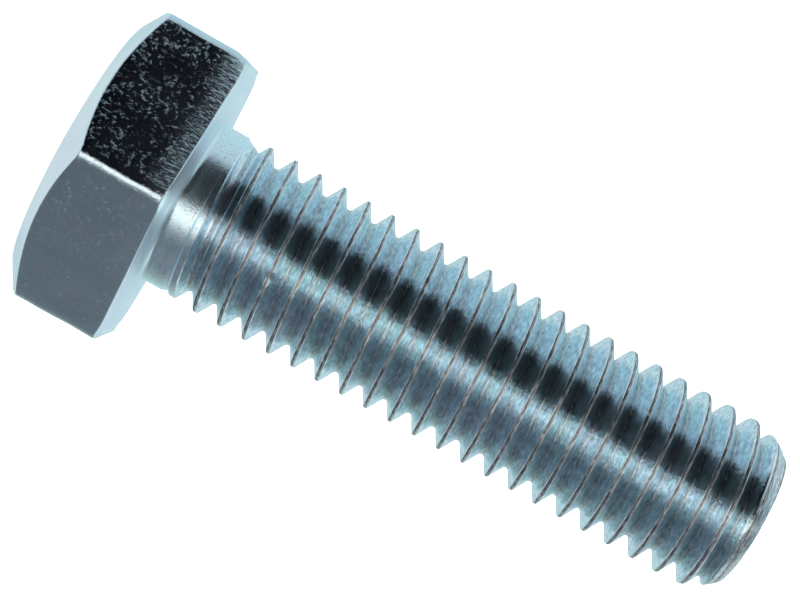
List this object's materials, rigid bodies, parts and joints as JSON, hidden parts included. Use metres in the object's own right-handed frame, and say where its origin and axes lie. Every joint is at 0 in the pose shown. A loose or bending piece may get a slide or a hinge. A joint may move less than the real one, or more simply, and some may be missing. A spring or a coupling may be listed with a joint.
{
  "type": "hex bolt",
  "caption": "Zinc-plated hex head bolt with a coarse right-hand thread rolled along nearly the whole shank, a short plain neck and a rounded tip.",
  "frame": {"origin": "centre of the bearing face under the head", "axes": "+Z along the shank from the head to the tip; one corner of the hexagon points along +X, so two of its flats face +Y and -Y"},
  "size_m": [0.0192, 0.0168, 0.0414],
  "materials": {
    "zinc_plated_steel": "bright blue-passivated zinc plating"
  },
  "bodies": {
    "root": {"hex_bolt": "zinc_plated_steel"}
  },
  "joints": []
}
